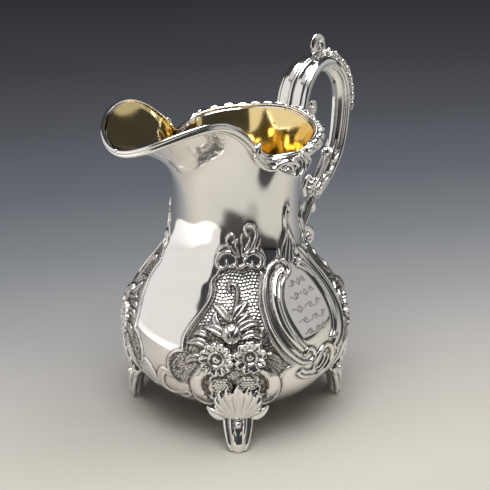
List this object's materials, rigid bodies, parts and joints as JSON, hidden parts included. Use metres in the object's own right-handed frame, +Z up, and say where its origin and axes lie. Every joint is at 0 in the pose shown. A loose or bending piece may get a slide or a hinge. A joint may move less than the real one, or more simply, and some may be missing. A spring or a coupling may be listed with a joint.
{
  "type": "cream jug",
  "caption": "Pear-shaped silver cream jug with a gilt inside, wide scalloped spout, scroll-and-shell rim, double-scroll handle and four cast leaf feet.",
  "frame": {"origin": "on the floor, in the middle of the four toes, under the neck's axis", "axes": "+Z up, -X towards the spout, +X towards the handle, +Y the side on the right of somebody who looks from the handle to the spout"},
  "size_m": [0.1387, 0.0958, 0.1518],
  "materials": {
    "silver_sheet": "raised and chased sheet silver, hand polished, oxidised in the recesses",
    "silver_cast": "cast and chased silver, polished, darker in the recesses",
    "gilt": "fire-gilt inside, satin"
  },
  "bodies": {
    "root": {"body_shell": "silver_sheet", "base_disc": "silver_sheet", "lip_moulding": "silver_cast", "rim_scroll_right": "silver_cast", "rim_scroll_left": "silver_cast", "rim_shell_right": "silver_cast", "rim_shell_left": "silver_cast", "rim_back_scroll": "silver_cast", "handle_upper_arm": "silver_cast", "handle_back_arm": "silver_cast", "handle_inner_curl": "silver_cast", "handle_lower_scroll": "silver_cast", "handle_tail_curl": "silver_cast", "handle_flower_strip": "silver_cast", "handle_thumb_bud": "silver_cast", "handle_inner_knop": "silver_cast", "handle_lower_leaf": "silver_cast", "handle_tail_bead": "silver_cast", "foot_back_right": "silver_cast", "foot_front_right": "silver_cast", "foot_front_left": "silver_cast", "foot_back_left": "silver_cast", "gilt_lining": "gilt"}
  },
  "joints": []
}
